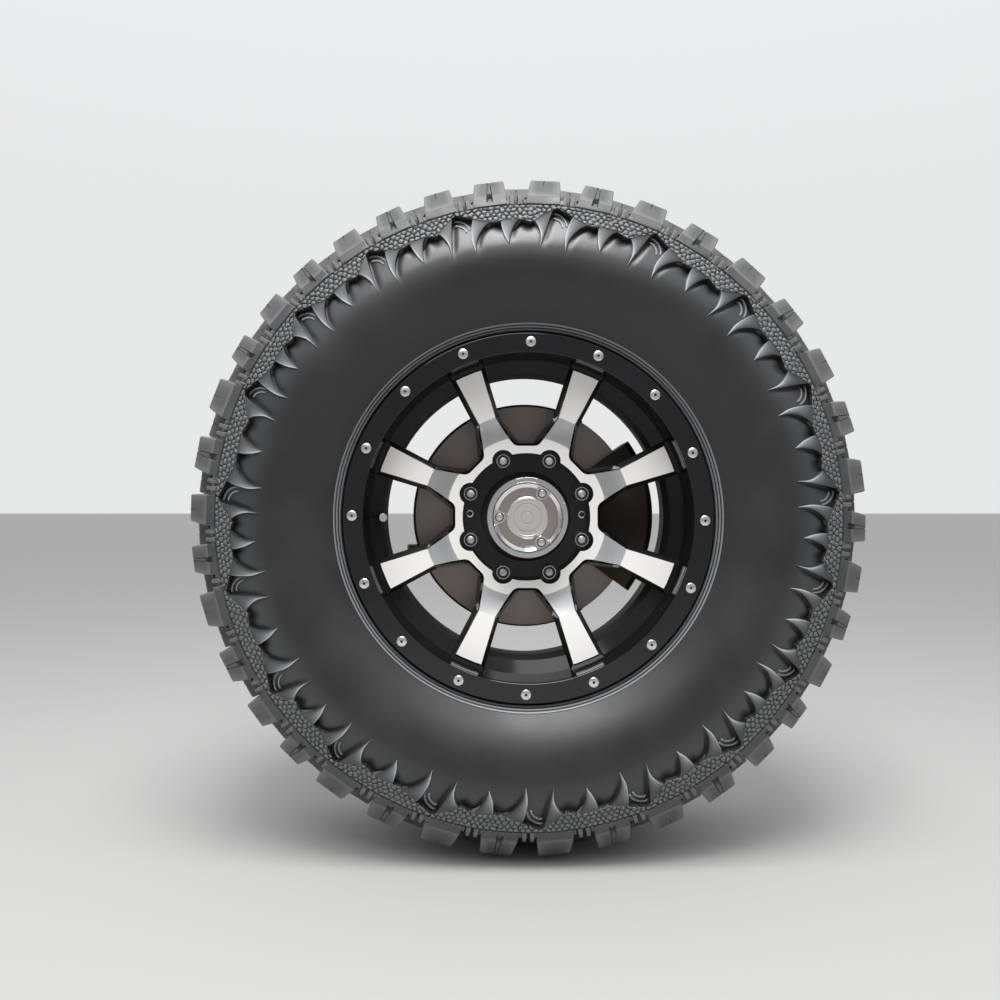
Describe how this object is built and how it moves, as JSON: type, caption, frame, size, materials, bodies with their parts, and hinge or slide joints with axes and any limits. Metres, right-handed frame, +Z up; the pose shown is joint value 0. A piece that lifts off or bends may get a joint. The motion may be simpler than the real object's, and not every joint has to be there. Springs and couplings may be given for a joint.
{
  "type": "off-road front wheel end",
  "caption": "Front wheel end of a lifted off-road 4x4: mud tyre on a spoked alloy wheel, hub, disc brake, steering knuckle and axle-end yoke.",
  "frame": {"origin": "mouth centre of the axle-tube socket", "axes": "+Y inboard along the axle tube, wheel axis along Y with the outer face towards -Y, -X towards the vehicle's front, +Z up"},
  "size_m": [0.8838, 0.486, 0.8838],
  "materials": {
    "forging": "dark forged steel, lightly rusted",
    "plain_steel": "plain machined steel",
    "boot_rubber": "black moulded rubber",
    "sheet_steel": "black painted pressed sheet",
    "caliper_iron": "dark cast iron",
    "pad_lining": "brake lining",
    "hub_iron": "cast iron",
    "disc_iron": "machined iron disc, used",
    "nut_steel": "plated steel",
    "chrome": "bright chrome",
    "wheel_alloy": "gloss black paint, machined bright on the spoke faces",
    "black_paint": "gloss black paint",
    "tyre_rubber": "matte black rubber"
  },
  "bodies": {
    "axle_yoke": {"axle_yoke": "forging", "ball_studs": "plain_steel", "ball_stud_nuts": "plain_steel"},
    "knuckle": {"knuckle": "forging", "ball_sockets": "plain_steel", "ball_boots": "boot_rubber", "spindle": "plain_steel", "spindle_nuts": "plain_steel", "dust_shield": "sheet_steel", "caliper": "caliper_iron", "caliper_pins": "plain_steel", "brake_pads": "pad_lining"},
    "wheel": {"wheel_hub": "hub_iron", "brake_disc": "disc_iron", "lug_nuts": "nut_steel", "locking_hub": "chrome", "locking_hub_cap": "chrome", "stub_shaft": "plain_steel", "joint_cross": "plain_steel", "alloy_wheel": "wheel_alloy", "bead_ring": "black_paint", "valve_stem": "nut_steel", "valve_cap": "nut_steel", "tyre": "tyre_rubber"}
  },
  "joints": [
    {"name": "steer", "type": "hinge", "parent": "axle_yoke", "child": "knuckle", "pos_m": [0, -0.15, 0], "axis": [0, 0.1478, 0.989], "range_deg": [-33, 33]},
    {"name": "wheel_spin", "type": "hinge", "parent": "knuckle", "child": "wheel", "pos_m": [0, -0.315, 0], "axis": [0, 1, 0], "continuous": true}
  ]
}
